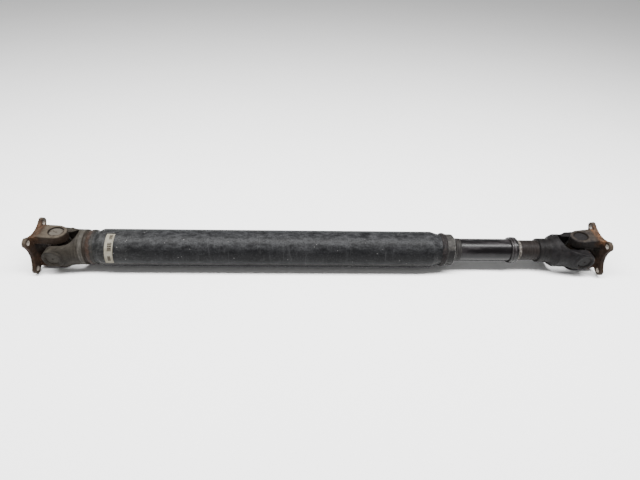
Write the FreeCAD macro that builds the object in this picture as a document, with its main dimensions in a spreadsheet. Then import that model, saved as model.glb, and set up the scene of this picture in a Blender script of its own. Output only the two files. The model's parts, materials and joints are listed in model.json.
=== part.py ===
import FreeCAD, Part
import math
import os
import Sketcher
from FreeCAD import Vector

# A light one-piece propeller shaft with a universal joint at each end.
# Frame: +X runs along the tube from the fixed yoke to the slip yoke, +Z is up, the floor is z = 0.
# The shaft lies on the lower ears of its flanges, which are tipped a little about the crosses'
# level trunnions, and its tube is just clear of the floor. All lengths are in millimetres.

os.makedirs("parts", exist_ok=True)
doc = FreeCAD.newDocument("universal_joint_shaft")

# ---------------------------------------------------------------- driving dimensions
dims = {
    "joint_x": 549.0,            # joint centre to the middle of the shaft
    "axis_z": 43.2,              # height of the shaft's axis above the floor
    "left_tip": 4.65,            # degrees that each flange is tipped, its top edge inwards
    "right_tip": 8.0,
    # tube
    "tube_r": 38.2,
    "tube_wall": 2.6,
    "tube_left_end": -481.0,
    "tube_right_end": 246.0,
    "left_neck_r": 33.7,
    "right_neck_r": 33.0,
    # forks, measured from their joint's centre
    "ear_r": 20.5,
    "ear_face": 41.0,            # joint centre to the outer face of an ear
    "ear_gap": 22.0,             # joint centre to the inner face of an ear
    "tube_root": 45.5,           # joint centre to the bottom of the gap between the ears
    "slip_root": 51.5,
    "envelope_r": 46.0,
    "tube_hub_r": 36.75,
    "slip_hub_r": 35.2,
    # flanges
    "flange_back": 46.0,         # joint centre to the mounting face
    "flange_web": 7.5,           # plate thickness
    "bolt_circle_r": 47.625,     # 95.25 bolt circle
    "bolt_hole_r": 4.8,
    "lug_r": 10.6,
    "scoop_r": 53.4,             # hollow between two lugs
    "scoop_depth": 34.0,         # flange centre to the bottom of a hollow
    "pilot_r": 30.16,
    "pilot_depth": 2.5,
    # cross and bearings
    "trunnion_r": 8.5,
    "trunnion_end": 34.0,
    "shoulder": 18.4,
    "cup_r": 14.5,
    "cup_open": 20.2,
    "cup_face": 38.4,
    "cup_floor": 2.8,
    "race_r": 10.95,
    "needle_r": 1.2,
    "needle_pitch_r": 9.74,
    "ring_thickness": 1.5,
    "ring_groove_r": 15.7,
    # slip end
    "sleeve_r": 24.2,
    "sleeve_end": 402.0,
    "bore_depth": 45.0,          # smooth bore in the sleeve's mouth, before its teeth
    "cap_r": 28.2,
    "cap_start": 394.7,
    "cap_end": 409.8,
    "spline_major_r": 20.6,
    "spline_minor_r": 18.8,
    "spline_play": 0.05,
    "spline_start": 283.0,
    "spline_stop": 380.0,
    "shank_r": 21.4,
    "neck_start": 457.0,
    "neck_r": 25.8,
    # paper label
    "label_x": -438.9,
    "label_width": 16.3,
    "label_start": 6.0,          # degrees from the top of the tube, down its front
    "label_wrap": 101.0,
    "label_thickness": 0.15,
}
TEETH = 20
NEEDLES = 24

sheet = doc.addObject("Spreadsheet::Sheet", "Dims")
for row, (name, size) in enumerate(dims.items(), start=1):
    sheet.set(f"A{row}", name)
    sheet.set(f"B{row}", str(size))
    sheet.setAlias(f"B{row}", name)
doc.recompute()


# ---------------------------------------------------------------- helpers
def d(text):
    """An expression in which each dimension's name is looked up in the sheet."""
    words = text.split(" ")
    return " ".join("Dims." + w if w in dims else w for w in words)


def origin_plane(body, role):
    return next(f for f in body.Origin.OriginFeatures if f.Role == role)


def new_body(label):
    body = doc.addObject("PartDesign::Body", label)
    body.Label = label
    return body


def new_sketch(body, name, role, offset=None):
    """A sketch on one of the body's own planes; offset is an expression along its normal."""
    sketch = body.newObject("Sketcher::SketchObject", name)
    sketch.AttachmentSupport = [(origin_plane(body, role), "")]
    sketch.MapMode = "FlatFace"
    if offset:
        sketch.setExpression("AttachmentOffset.Base.z", d(offset))
    return sketch


def bind(sketch, constraint, expression):
    index = sketch.addConstraint(constraint)
    sketch.setExpression(f"Constraints[{index}]", d(expression))


def add_polygon(sketch, corners):
    """A closed outline whose corners are pairs of expressions."""
    first = sketch.GeometryCount
    count = len(corners)
    for n in range(count):
        a, b = 2 * math.pi * n / count, 2 * math.pi * (n + 1) / count
        start = Vector(20 * math.cos(a), 20 * math.sin(a), 0)
        end = Vector(20 * math.cos(b), 20 * math.sin(b), 0)
        sketch.addGeometry(Part.LineSegment(start, end))
    for n in range(count):
        follower = first + (n + 1) % count
        sketch.addConstraint(Sketcher.Constraint("Coincident", first + n, 2, follower, 1))
    for n, (across, up) in enumerate(corners):
        bind(sketch, Sketcher.Constraint("DistanceX", -1, 1, first + n, 1, 1.0), across)
        bind(sketch, Sketcher.Constraint("DistanceY", -1, 1, first + n, 1, 1.0), up)


def add_circle(sketch, across, up, radius):
    n = sketch.GeometryCount
    sketch.addGeometry(Part.Circle(Vector(5, 5, 0), Vector(0, 0, 1), 3))
    bind(sketch, Sketcher.Constraint("DistanceX", -1, 1, n, 3, 5.0), across)
    bind(sketch, Sketcher.Constraint("DistanceY", -1, 1, n, 3, 5.0), up)
    bind(sketch, Sketcher.Constraint("Radius", n, 3.0), radius)


def mirrored(corners):
    """The same outline on the other side of the sketch's horizontal axis."""
    return [(x, f"-1 * ( {y} )") for x, y in corners]


def turned_half(corners):
    """The same outline on the other side of the sketch's vertical axis."""
    return [(f"-1 * ( {x} )", y) for x, y in corners]


def turned(body, kind, name, sketch, axis):
    """A Revolution or a Groove of a sketch about one of its own axes."""
    feature = body.newObject(kind, name)
    feature.Profile = sketch
    feature.Refine = False
    feature.ReferenceAxis = (sketch, [axis])
    feature.Angle = 360
    sketch.Visibility = False
    doc.recompute()
    return feature


def pushed(body, kind, name, sketch, length, midplane=True, backwards=False):
    """A Pad or a Pocket of a sketch."""
    feature = body.newObject(kind, name)
    feature.Profile = sketch
    feature.Refine = False
    feature.setExpression("Length", d(length))
    feature.Midplane = midplane
    feature.Reversed = backwards
    sketch.Visibility = False
    doc.recompute()
    return feature


def polar(body, name, original, count, role):
    pattern = body.newObject("PartDesign::PolarPattern", name)
    pattern.Originals = [original]
    pattern.Axis = (next(f for f in body.Origin.OriginFeatures if f.Role == role), [""])
    pattern.Angle = 360
    pattern.Refine = False
    body.Tip = pattern
    pattern.Occurrences = count
    doc.recompute()
    return pattern


def edges_where(feature, test):
    """Names of the edges whose ends and middle all pass a test of x, y and z."""
    names = []
    for n, edge in enumerate(feature.Shape.Edges, start=1):
        first, last = edge.ParameterRange
        spots = [edge.valueAt(first + (last - first) * share) for share in (0.02, 0.5, 0.98)]
        if all(test(p.x, p.y, p.z) for p in spots):
            names.append(f"Edge{n}")
    return names


def rounded(body, name, test, radius):
    """A Fillet on the edges that pass the test."""
    base = body.Tip
    feature = body.newObject("PartDesign::Fillet", name)
    feature.Base = (base, edges_where(base, test))
    feature.Radius = radius
    doc.recompute()
    return feature


def near(a, b, slack=0.02):
    return abs(a - b) < slack


def place(item, x, z="axis_z", yaw=0, pitch="0", roll=0):
    """Bind a piece's placement: turned by roll, pitch, then yaw, and moved to (x, 0, z)."""
    base = f"create(<<vector>>; {d(x)}; 0; {d(z)})"
    turn = f"create(<<rotation>>; {yaw}; {d(pitch)}; {roll})"
    item.setExpression("Placement", f"create(<<placement>>; {base}; {turn})")


def revolved_body(label, profile, x="0"):
    """One turned piece about the shaft's axis, from a closed profile of (x, radius) pairs."""
    body = new_body(label)
    sketch = new_sketch(body, label + "_profile", "XZ_Plane")
    add_polygon(sketch, profile)
    turned(body, "PartDesign::Revolution", label + "_turned", sketch, "H_Axis")
    place(body, x)
    return body


# ---------------------------------------------------------------- tube and what is welded to it
def make_tube():
    body = revolved_body("main_tube", [
        ("tube_left_end", "left_neck_r"),
        ("tube_left_end + 14", "left_neck_r"),
        ("tube_left_end + 23", "tube_r"),
        ("tube_right_end - 22", "tube_r"),
        ("tube_right_end - 6", "right_neck_r"),
        ("tube_right_end", "right_neck_r"),
        ("tube_right_end", "right_neck_r - tube_wall"),
        ("tube_right_end - 7", "right_neck_r - tube_wall"),
        ("tube_right_end - 23", "tube_r - tube_wall"),
        ("tube_left_end + 24", "tube_r - tube_wall"),
        ("tube_left_end + 15", "left_neck_r - tube_wall"),
        ("tube_left_end", "left_neck_r - tube_wall"),
    ])
    full, left = dims["tube_r"], dims["left_neck_r"]
    right = dims["right_neck_r"]
    left_x, right_x = dims["tube_left_end"], dims["tube_right_end"]

    def outer_bend(x, y, z):
        spot = (round(x, 2), round(math.hypot(y, z), 2))
        bends = [(left_x + 14, left), (left_x + 23, full), (right_x - 22, full), (right_x - 6, right)]
        return spot in [(round(a, 2), round(b, 2)) for a, b in bends]

    rounded(body, "main_tube_bends", outer_bend, 7.0)


def make_left_weld():
    return revolved_body("left_weld_bead", [
        ("tube_left_end - 4.5", "left_neck_r - 0.4"),
        ("tube_left_end - 3", "left_neck_r + 0.9"),
        ("tube_left_end", "left_neck_r + 2.1"),
        ("tube_left_end + 3.5", "left_neck_r + 2.5"),
        ("tube_left_end + 7", "left_neck_r + 2.0"),
        ("tube_left_end + 9.5", "left_neck_r + 0.9"),
        ("tube_left_end + 11", "left_neck_r"),
        ("tube_left_end", "left_neck_r"),
        ("tube_left_end", "left_neck_r - 0.4"),
    ])


def make_right_weld():
    return revolved_body("right_weld_bead", [
        ("tube_right_end - 3", "right_neck_r"),
        ("tube_right_end - 1.5", "right_neck_r + 1.6"),
        ("tube_right_end + 1", "right_neck_r + 2.5"),
        ("tube_right_end + 4", "right_neck_r + 2.7"),
        ("tube_right_end + 7", "right_neck_r + 2.0"),
        ("tube_right_end + 9.5", "right_neck_r"),
    ])


def tooth_outline(play, root, tip):
    """Half-widths of a straight-sided tooth at its root and its tip, as expressions."""
    pitch = 360.0 / TEETH
    half_root = math.tan(math.radians(pitch * 0.31)) * dims["spline_minor_r"] + play
    half_tip = math.tan(math.radians(pitch * 0.17)) * dims["spline_major_r"] + play
    return [
        (f"-{half_root:.3f}", root),
        (f"{half_root:.3f}", root),
        (f"{half_tip:.3f}", tip),
        (f"-{half_tip:.3f}", tip),
    ]


def make_sleeve():
    """The welded end piece and the inside-splined sleeve it carries, one forging."""
    body = revolved_body("spline_sleeve", [
        ("tube_right_end - 6", "right_neck_r - tube_wall"),
        ("tube_right_end", "right_neck_r - tube_wall"),
        ("tube_right_end", "right_neck_r"),
        ("tube_right_end + 22.5", "right_neck_r"),
        ("tube_right_end + 24.1", "right_neck_r - 0.7"),
        ("tube_right_end + 25.6", "right_neck_r - 2.4"),
        ("tube_right_end + 28.8", "sleeve_r + 1.8"),
        ("tube_right_end + 30.5", "sleeve_r + 0.6"),
        ("tube_right_end + 32.5", "sleeve_r + 0.2"),
        ("tube_right_end + 40.5", "sleeve_r + 0.2"),
        ("tube_right_end + 41.2", "sleeve_r - 0.3"),
        ("cap_start", "sleeve_r - 0.3"),
        ("cap_start", "sleeve_r - 0.9"),
        ("sleeve_end - 1", "sleeve_r - 0.9"),
        ("sleeve_end", "sleeve_r - 1.6"),
        ("sleeve_end", "shank_r + 0.25"),
        ("sleeve_end - bore_depth", "shank_r + 0.25"),
        ("sleeve_end - bore_depth - 1", "spline_minor_r + 0.2"),
        ("tube_right_end + 14", "spline_minor_r + 0.2"),
        ("tube_right_end + 14", "spline_minor_r - 1.3"),
        ("tube_right_end + 2", "spline_minor_r - 1.3"),
        ("tube_right_end + 2", "spline_minor_r + 3"),
        ("tube_right_end - 4", "spline_minor_r + 8"),
        ("tube_right_end - 6", "spline_minor_r + 9"),
    ])
    sketch = new_sketch(body, "sleeve_tooth_space", "YZ_Plane", "tube_right_end + 14")
    add_polygon(sketch, tooth_outline(0.1, "spline_minor_r - 1", "spline_major_r + spline_play"))
    pocket = pushed(body, "PartDesign::Pocket", "sleeve_one_space", sketch,
                    "sleeve_end - tube_right_end - 14", midplane=False, backwards=True)
    polar(body, "sleeve_spaces", pocket, TEETH, "X_Axis")
    return body


def make_core_plug():
    return revolved_body("grease_core_plug", [
        ("tube_right_end + 3", "0"),
        ("tube_right_end + 5", "0"),
        ("tube_right_end + 8.5", "spline_minor_r - 3.5"),
        ("tube_right_end + 8.5", "spline_minor_r - 1.3"),
        ("tube_right_end + 3.5", "spline_minor_r - 1.3"),
        ("tube_right_end + 5.5", "spline_minor_r - 4.5"),
    ])


def make_seal_cap():
    return revolved_body("dust_seal_cap", [
        ("cap_start", "sleeve_r - 0.9"),
        ("cap_start", "cap_r - 2.6"),
        ("cap_start + 0.6", "cap_r - 1.5"),
        ("cap_start + 1.5", "cap_r - 0.8"),
        ("cap_start + 2.6", "cap_r - 0.7"),
        ("cap_start + 3.0", "cap_r - 1.3"),
        ("cap_start + 3.8", "cap_r - 1.3"),
        ("cap_start + 4.6", "cap_r - 0.5"),
        ("cap_start + 5.8", "cap_r - 0.1"),
        ("cap_start + 7.4", "cap_r"),
        ("cap_start + 9.4", "cap_r - 0.1"),
        ("cap_start + 9.9", "cap_r - 0.6"),
        ("cap_start + 10.7", "cap_r - 0.6"),
        ("cap_start + 11.3", "cap_r - 0.1"),
        ("cap_end - 2.0", "cap_r - 0.3"),
        ("cap_end - 1.0", "cap_r - 0.9"),
        ("cap_end - 0.3", "cap_r - 1.9"),
        ("cap_end", "cap_r - 3.1"),
        ("cap_end", "shank_r + 0.4"),
        ("cap_end - 1.6", "shank_r + 0.4"),
        ("cap_end - 1.6", "sleeve_r - 0.1"),
        ("sleeve_end + 0.4", "sleeve_r - 0.1"),
        ("sleeve_end + 0.4", "sleeve_r - 0.9"),
    ])


def make_slip_seal():
    """The rubber ring in the cap, which wipes the sliding spline."""
    return revolved_body("slip_seal_ring", [
        ("sleeve_end + 1", "sleeve_r - 0.1"),
        ("cap_end - 1.6", "sleeve_r - 0.1"),
        ("cap_end - 1.6", "shank_r + 0.4"),
        ("cap_end - 2.4", "shank_r + 0.05"),
        ("cap_end - 3.2", "shank_r + 0.05"),
        ("cap_end - 4.6", "shank_r + 1"),
        ("sleeve_end + 1", "shank_r + 1"),
    ])


# ---------------------------------------------------------------- forks on the shaft
def fork_blank(body, label, hub_r, root, profile):
    """Turned hub and stem, then two ears, in the joint's own frame with the hub towards +X."""
    sketch = new_sketch(body, label + "_hub_profile", "XZ_Plane")
    add_polygon(sketch, profile)
    turned(body, "PartDesign::Revolution", label + "_hub", sketch, "H_Axis")

    # the arms keep the ears' width, then flare out to the hub
    sketch = new_sketch(body, label + "_arm_outline", "XZ_Plane")
    flare = [
        ("0", "ear_r"),
        ("14", "ear_r + 0.4"),
        (f"{root} - 20", f"{hub_r} - 13"),
        (f"{root} - 12.5", f"{hub_r} - 9.6"),
        (f"{root} - 8", f"{hub_r} - 6.8"),
        (f"{root} - 5", f"{hub_r} - 4.4"),
        (f"{root} - 2.5", f"{hub_r} - 2.1"),
        (root, f"{hub_r} - 0.6"),
        (f"{root} + 3", f"{hub_r} - 0.2"),
    ]
    add_polygon(sketch, flare + list(reversed(mirrored(flare))))
    pushed(body, "PartDesign::Pad", label + "_arms", sketch, "2 * ear_face")
    sketch = new_sketch(body, label + "_ear_outline", "XZ_Plane")
    add_circle(sketch, "0", "0", "ear_r")
    pushed(body, "PartDesign::Pad", label + "_ears", sketch, "2 * ear_face")

    # everything outside the turned envelope goes, which rounds the arms into the hub
    sketch = new_sketch(body, label + "_envelope", "XZ_Plane")
    add_polygon(sketch, [
        ("-30", "envelope_r - 2"),
        ("-18", "envelope_r - 2"),
        ("-8", "envelope_r"),
        ("8", "envelope_r"),
        ("14", "envelope_r - 1.4"),
        ("20", f"0.56 * envelope_r + 0.44 * {hub_r}"),
        ("27", f"0.22 * envelope_r + 0.78 * {hub_r}"),
        ("34", f"0.05 * envelope_r + 0.95 * {hub_r}"),
        (f"{root} - 2", hub_r),
        (f"{root} + 3", hub_r),
        (f"{root} + 3", "envelope_r + 20"),
        ("-30", "envelope_r + 20"),
    ])
    turned(body, "PartDesign::Groove", label + "_outside", sketch, "H_Axis")

    # the ears' outer faces stand a little proud of the arms, as round bosses with soft rims
    sketch = new_sketch(body, label + "_boss_rim", "XY_Plane")
    rim = [
        ("ear_r - 1.9", "ear_face"),
        ("ear_r - 0.9", "ear_face - 0.4"),
        ("ear_r - 0.2", "ear_face - 1.3"),
        ("ear_r + 0.1", "ear_face - 2.4"),
        ("ear_r + 26", hub_r),
        ("ear_r + 26", "ear_face"),
    ]
    add_polygon(sketch, rim)
    add_polygon(sketch, mirrored(rim))
    turned(body, "PartDesign::Groove", label + "_boss_rims", sketch, "V_Axis")

    # the gap between the ears: straight through, with well rounded corners at its bottom
    sketch = new_sketch(body, label + "_gap_outline", "XY_Plane")
    gap = [
        ("-40", "ear_gap"),
        (f"{root} - 16", "ear_gap"),
        (f"{root} - 11", "ear_gap - 1.6"),
        (f"{root} - 6.5", "ear_gap - 5"),
        (f"{root} - 3", "ear_gap - 9.5"),
        (f"{root} - 0.9", "ear_gap - 15"),
        (root, "0"),
    ]
    add_polygon(sketch, gap + list(reversed(mirrored(gap[:-1]))))
    pushed(body, "PartDesign::Pocket", label + "_gap", sketch, f"3 * {hub_r}")

    # room for the other fork to swing: a short drum about the cross axis with a rounded rim
    sketch = new_sketch(body, label + "_swing_room", "XZ_Plane")
    add_circle(sketch, "0", "0", f"{root} - 6")
    pushed(body, "PartDesign::Pocket", label + "_swing_drum", sketch, "2 * ear_gap")
    sketch = new_sketch(body, label + "_swing_rim", "XY_Plane")
    add_polygon(sketch, [
        ("12", "ear_gap"),
        ("12", "-1 * ear_gap"),
        (f"{root} - 6", "-1 * ear_gap"),
        (f"{root} - 2.2", "2 - ear_gap"),
        (f"{root} + 0.6", "5.5 - ear_gap"),
        (f"{root} + 2", "11 - ear_gap"),
        (f"{root} + 2", "ear_gap - 11"),
        (f"{root} + 0.6", "ear_gap - 5.5"),
        (f"{root} - 2.2", "ear_gap - 2"),
        (f"{root} - 6", "ear_gap"),
    ])
    turned(body, "PartDesign::Groove", label + "_swing", sketch, "V_Axis")


def bore_ears(body, label, role, turning_axis, plane):
    """Cup bores through both ears and the snap-ring grooves near their outer faces."""
    sketch = new_sketch(body, label + "_bore_outline", role)
    add_circle(sketch, "0", "0", "cup_r")
    pushed(body, "PartDesign::Pocket", label + "_bores", sketch, "3 * ear_face")
    sketch = new_sketch(body, label + "_ring_groove", plane)
    groove = [
        ("cup_r - 2", "cup_face"),
        ("ring_groove_r", "cup_face"),
        ("ring_groove_r", "cup_face + ring_thickness"),
        ("cup_r - 2", "cup_face + ring_thickness"),
    ]
    add_polygon(sketch, groove)
    add_polygon(sketch, mirrored(groove))
    turned(body, "PartDesign::Groove", label + "_ring_grooves", sketch, turning_axis)


def make_tube_yoke():
    body = new_body("left_tube_yoke")
    step = "joint_x + tube_left_end"
    fork_blank(body, "tube_yoke", "tube_hub_r", "tube_root", [
        ("tube_root - 6", "0"),
        ("tube_root - 6", "tube_hub_r"),
        (f"{step} - 10.5", "tube_hub_r"),
        (f"{step} - 8", "left_neck_r - 0.4"),
        (step, "left_neck_r - 0.4"),
        (step, "left_neck_r - tube_wall"),
        (f"{step} + 14", "left_neck_r - tube_wall"),
        (f"{step} + 16", "left_neck_r - tube_wall - 2"),
        (f"{step} + 16", "0"),
    ])
    # relief from the tube side
    sketch = new_sketch(body, "tube_yoke_relief_outline", "XZ_Plane")
    add_polygon(sketch, [
        (f"{step} + 20", "0"),
        (f"{step} - 4", "0"),
        (f"{step} - 4", "16"),
        (f"{step}", "22"),
        (f"{step} + 20", "24"),
    ])
    turned(body, "PartDesign::Groove", "tube_yoke_relief", sketch, "H_Axis")
    bore_ears(body, "tube_yoke", "XZ_Plane", "V_Axis", "XY_Plane")
    place(body, "-1 * joint_x")
    return body


def make_slip_yoke():
    """The outside-splined shank and its fork, modelled from the joint with the shank towards +X."""
    body = new_body("slip_yoke")
    fork_blank(body, "slip_yoke", "slip_hub_r", "slip_root", [
        ("slip_root - 6", "0"),
        ("slip_root - 6", "slip_hub_r"),
        ("slip_root + 0.4", "slip_hub_r"),
        ("slip_root + 0.9", "slip_hub_r - 0.9"),
        ("slip_root + 1.7", "slip_hub_r - 0.9"),
        ("slip_root + 2.2", "slip_hub_r - 0.5"),
        ("57", "slip_hub_r - 1.5"),
        ("60", "slip_hub_r - 3.2"),
        ("62.5", "slip_hub_r - 5.2"),
        ("65", "neck_r + 2"),
        ("67", "neck_r + 0.5"),
        ("69", "neck_r"),
        ("79", "neck_r"),
        ("79.6", "neck_r - 0.5"),
        ("80.6", "neck_r - 0.5"),
        ("81.2", "neck_r"),
        ("joint_x - neck_start - 1.5", "neck_r"),
        ("joint_x - neck_start", "neck_r - 1.5"),
        ("joint_x - neck_start", "shank_r"),
        ("joint_x - spline_stop", "shank_r"),
        ("joint_x - spline_stop", "spline_minor_r"),
        ("joint_x - spline_start - 1", "spline_minor_r"),
        ("joint_x - spline_start", "spline_minor_r - 1"),
        ("joint_x - spline_start", "0"),
    ])
    sketch = new_sketch(body, "slip_yoke_tooth", "YZ_Plane", "joint_x - spline_stop")
    add_polygon(sketch, tooth_outline(0.0, "spline_minor_r - 0.6", "spline_major_r"))
    pad = pushed(body, "PartDesign::Pad", "slip_yoke_one_tooth", sketch,
                 "spline_stop - spline_start - 1", midplane=False)
    polar(body, "slip_yoke_teeth", pad, TEETH, "X_Axis")
    bore_ears(body, "slip_yoke", "XZ_Plane", "V_Axis", "XY_Plane")
    place(body, "joint_x", yaw=180)
    return body


# ---------------------------------------------------------------- flange yokes
def make_flange_yoke(label, side, yaw, tip):
    """A four-lug flange with two ears, in the joint's frame with the flange towards -X."""
    body = new_body(label)
    offset = "0.70710678 * bolt_circle_r"
    half = f"( {offset} + lug_r )"
    sketch = new_sketch(body, label + "_plate_outline", "YZ_Plane", "-1 * flange_back")
    corners = [(half, half), (half, f"-1 * {half}")]
    add_polygon(sketch, corners + list(reversed(turned_half(corners))))
    pushed(body, "PartDesign::Pad", label + "_plate", sketch, "flange_web", midplane=False)
    reach = dims["bolt_circle_r"] * math.sqrt(0.5) + dims["lug_r"]

    def plate_corner(x, y, z):
        return near(abs(y), reach) and near(abs(z), reach)

    rounded(body, label + "_lugs", plate_corner, dims["lug_r"] - 0.02)

    sketch = new_sketch(body, label + "_scoop_outline", "YZ_Plane", "-1 * flange_back")
    add_circle(sketch, "scoop_depth + scoop_r", "0", "scoop_r")
    scoop = pushed(body, "PartDesign::Pocket", label + "_scoop", sketch, "4 * flange_web")
    polar(body, label + "_scoops", scoop, 4, "X_Axis")

    # two arms that slope down to the plate's edge, and the ears' round ends
    sketch = new_sketch(body, label + "_arm_outline", "XZ_Plane")
    add_polygon(sketch, [
        ("-1 * flange_back", "scoop_depth - 1"),
        ("-1 * flange_back + 3", "scoop_depth + 0.6"),
        ("-29", "ear_face - 0.6"),
        ("-24", "ear_face"),
        ("0", "ear_face"),
        ("0", "-1 * ear_face"),
        ("-24", "-1 * ear_face"),
        ("-29", "0.6 - ear_face"),
        ("-1 * flange_back + 3", "-0.6 - scoop_depth"),
        ("-1 * flange_back", "1 - scoop_depth"),
    ])
    pushed(body, "PartDesign::Pad", label + "_arms", sketch, "2 * ear_r")
    sketch = new_sketch(body, label + "_ear_outline", "XY_Plane")
    add_circle(sketch, "0", "0", "ear_r")
    pushed(body, "PartDesign::Pad", label + "_ears", sketch, "2 * ear_face")
    sketch = new_sketch(body, label + "_gap_outline", "XZ_Plane")
    inner = "flange_web - flange_back"
    gap = [
        ("30", "ear_gap"),
        (f"{inner} + 7", "ear_gap"),
        (f"{inner} + 3", "ear_gap - 1.2"),
        (f"{inner} + 0.8", "ear_gap - 4"),
        (inner, "ear_gap - 8"),
    ]
    add_polygon(sketch, gap + list(reversed(mirrored(gap))))
    pushed(body, "PartDesign::Pocket", label + "_gap", sketch, "3 * ear_r")

    sketch = new_sketch(body, label + "_envelope", "XZ_Plane")
    add_polygon(sketch, [
        ("-27", "envelope_r + 0.5"),
        ("8", "envelope_r"),
        ("18", "envelope_r - 2"),
        ("30", "envelope_r - 2"),
        ("30", "envelope_r + 20"),
        ("-27", "envelope_r + 20"),
    ])
    turned(body, "PartDesign::Groove", label + "_outside", sketch, "H_Axis")

    # soft rims on the ears' free ends
    sketch = new_sketch(body, label + "_boss_rim", "XZ_Plane")
    rim = [
        ("ear_r - 1.9", "ear_face"),
        ("ear_r - 0.9", "ear_face - 0.4"),
        ("ear_r - 0.2", "ear_face - 1.3"),
        ("ear_r + 0.1", "ear_face - 2.4"),
        ("ear_r + 6", "ear_face - 2.4"),
        ("ear_r + 6", "ear_face + 1"),
        ("ear_r - 1.9", "ear_face + 1"),
    ]
    add_polygon(sketch, rim)
    add_polygon(sketch, mirrored(rim))
    groove = turned(body, "PartDesign::Groove", label + "_boss_rims", sketch, "V_Axis")
    groove.Midplane = True
    groove.Angle = 180
    doc.recompute()

    # the same rims along the arms' four long edges
    sketch = new_sketch(body, label + "_arm_rim", "YZ_Plane", "-27")
    for edge in (rim, mirrored(rim), turned_half(rim), turned_half(mirrored(rim))):
        add_polygon(sketch, edge)
    pushed(body, "PartDesign::Pocket", label + "_arm_rims", sketch, "27", midplane=False, backwards=True)

    bore_ears(body, label, "XY_Plane", "V_Axis", "XZ_Plane")

    sketch = new_sketch(body, label + "_pilot_outline", "YZ_Plane", "-1 * flange_back")
    add_circle(sketch, "0", "0", "pilot_r")
    pushed(body, "PartDesign::Pocket", label + "_pilot", sketch, "2 * pilot_depth")
    sketch = new_sketch(body, label + "_hole_outline", "YZ_Plane", "-1 * flange_back")
    for across in ("", "-1 * "):
        for up in ("", "-1 * "):
            add_circle(sketch, across + offset, up + offset, "bolt_hole_r")
    pushed(body, "PartDesign::Pocket", label + "_holes", sketch, "4 * flange_web")

    place(body, f"{side} * joint_x", yaw=yaw, pitch=tip)
    return body


# ---------------------------------------------------------------- cross and bearings
def make_cross(label, side, yaw, tip):
    body = new_body(label)
    trunnion = [
        ("0", "0"),
        ("13.2", "0"),
        ("12.6", "9"),
        ("12.2", "shoulder - 1"),
        ("11.4", "shoulder"),
        ("trunnion_r", "shoulder"),
        ("trunnion_r", "trunnion_end - 0.8"),
        ("trunnion_r - 0.8", "trunnion_end"),
        ("2", "trunnion_end"),
        ("2", "trunnion_end - 8"),
        ("0", "trunnion_end - 8"),
    ]
    whole = trunnion[2:] + list(reversed(mirrored(trunnion[2:])))
    for role, name in (("XZ_Plane", "upright"), ("XY_Plane", "level")):
        sketch = new_sketch(body, f"{label}_{name}_profile", role)
        add_polygon(sketch, whole)
        turned(body, "PartDesign::Revolution", f"{label}_{name}", sketch, "V_Axis")
    sketch = new_sketch(body, label + "_heart_profile", "XY_Plane")
    add_polygon(sketch, [
        ("0", "9"), ("15.5", "9"), ("17.6", "5"), ("17.6", "-5"), ("15.5", "-9"), ("0", "-9"),
    ])
    turned(body, "PartDesign::Revolution", label + "_heart", sketch, "V_Axis")

    # seat of the grease nipple, in the corner between the front and the upper trunnions
    lean = FreeCAD.Rotation(Vector(1, 0, 0), 45 if yaw == 0 else -45)
    sketch = new_sketch(body, label + "_seat_outline", "XY_Plane")
    sketch.AttachmentOffset = FreeCAD.Placement(lean.multVec(Vector(0, 0, 14)), lean)
    add_circle(sketch, "0", "0", "2.4")
    pushed(body, "PartDesign::Pocket", label + "_nipple_seat", sketch, "12",
           midplane=False, backwards=True)
    place(body, f"{side} * joint_x", yaw=yaw, pitch=tip)
    return body


def turned_along_z(label, profile):
    body = new_body(label)
    sketch = new_sketch(body, label + "_profile", "XZ_Plane")
    add_polygon(sketch, profile)
    turned(body, "PartDesign::Revolution", label + "_turned", sketch, "V_Axis")
    return body


def make_cup(label, side, yaw, pitch, roll):
    body = turned_along_z(label, [
        ("race_r", "cup_open"),
        ("cup_r - 0.5", "cup_open"),
        ("cup_r", "cup_open + 0.5"),
        ("cup_r", "cup_face - 0.6"),
        ("cup_r - 0.6", "cup_face"),
        ("2.4", "cup_face"),
        ("0.8", "cup_face - 1.1"),
        ("0", "cup_face - 1.1"),
        ("0", "cup_face - cup_floor"),
        ("race_r", "cup_face - cup_floor"),
    ])
    place(body, f"{side} * joint_x", yaw=yaw, pitch=pitch, roll=roll)
    return body


def make_group(label, pieces, side, yaw, pitch, rolls):
    """Identical small pieces of one pair of ears, kept as separate solids in one node."""
    node = doc.addObject("Part::Compound", label)
    links = []
    for roll in rolls:
        for n, piece in enumerate(pieces(roll)):
            links.append(piece)
    node.Links = links
    node.Label = label
    place(node, f"{side} * joint_x", yaw=yaw, pitch=pitch)
    return node


def needle_set(label):
    def pieces(roll):
        for n in range(NEEDLES):
            needle = doc.addObject("Part::Cylinder", f"{label}_{abs(roll)}_{n}")
            needle.setExpression("Radius", d("needle_r"))
            needle.setExpression("Height", d("trunnion_end - cup_open - 0.8"))
            spin = FreeCAD.Rotation(Vector(0, 0, 1), 360.0 * n / NEEDLES)
            lean = FreeCAD.Rotation(Vector(1, 0, 0), roll)
            spot = lean.multVec(spin.multVec(Vector(dims["needle_pitch_r"], 0, dims["cup_open"] + 0.5)))
            needle.Placement = FreeCAD.Placement(spot, lean)
            yield needle
    return pieces


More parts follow.
